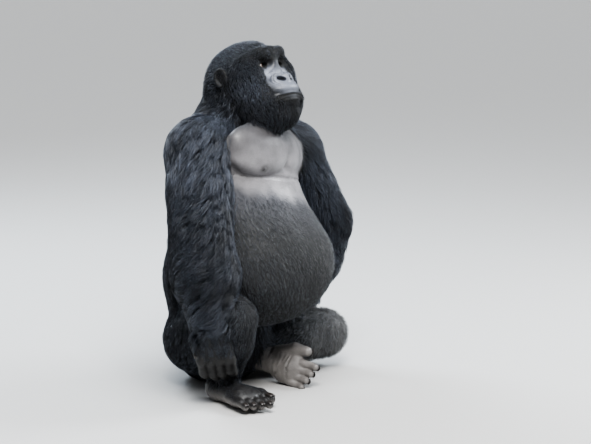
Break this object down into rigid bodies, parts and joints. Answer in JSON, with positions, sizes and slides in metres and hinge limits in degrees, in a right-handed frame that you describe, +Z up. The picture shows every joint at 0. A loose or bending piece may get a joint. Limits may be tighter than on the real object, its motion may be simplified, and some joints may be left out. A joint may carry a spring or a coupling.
{
  "type": "gorilla",
  "caption": "Life-size model of a seated male mountain gorilla, chin raised, one knee drawn up and the other leg folded on the floor.",
  "frame": {"origin": "middle of the flat under the seat, at floor level", "axes": "+Z up; the animal faces -Y; +X is its own left side"},
  "size_m": [0.9377, 0.609, 1.1139],
  "materials": {
    "trunk": "bare grey chest, short grizzled hair on belly and back",
    "neck": "long black coat with a blue-grey sheen",
    "head": "long black coat with a blue-grey sheen",
    "ear_l": "dark bare skin",
    "ear_r": "dark bare skin",
    "eye_l": "dark brown, glossy",
    "eye_r": "dark brown, glossy",
    "upper_arm_l": "long black coat with a blue-grey sheen",
    "forearm_l": "long black coat with a blue-grey sheen",
    "hand_l": "dark grey-brown bare skin",
    "upper_arm_r": "long black coat with a blue-grey sheen",
    "forearm_r": "long black coat with a blue-grey sheen",
    "hand_r": "dark grey-brown bare skin",
    "thigh_l": "short dark grey-brown coat",
    "shank_l": "short dark grey-brown coat",
    "foot_l": "grey-brown bare skin, creased sole",
    "thigh_r": "short dark grey-brown coat",
    "shank_r": "short dark grey-brown coat",
    "foot_r": "grey-brown bare skin, creased sole"
  },
  "bodies": {
    "root": {"trunk": "trunk", "neck": "neck", "head": "head", "ear_l": "ear_l", "ear_r": "ear_r", "eye_l": "eye_l", "eye_r": "eye_r", "upper_arm_l": "upper_arm_l", "forearm_l": "forearm_l", "hand_l": "hand_l", "upper_arm_r": "upper_arm_r", "forearm_r": "forearm_r", "hand_r": "hand_r", "thigh_l": "thigh_l", "shank_l": "shank_l", "foot_l": "foot_l", "thigh_r": "thigh_r", "shank_r": "shank_r", "foot_r": "foot_r"}
  },
  "joints": []
}
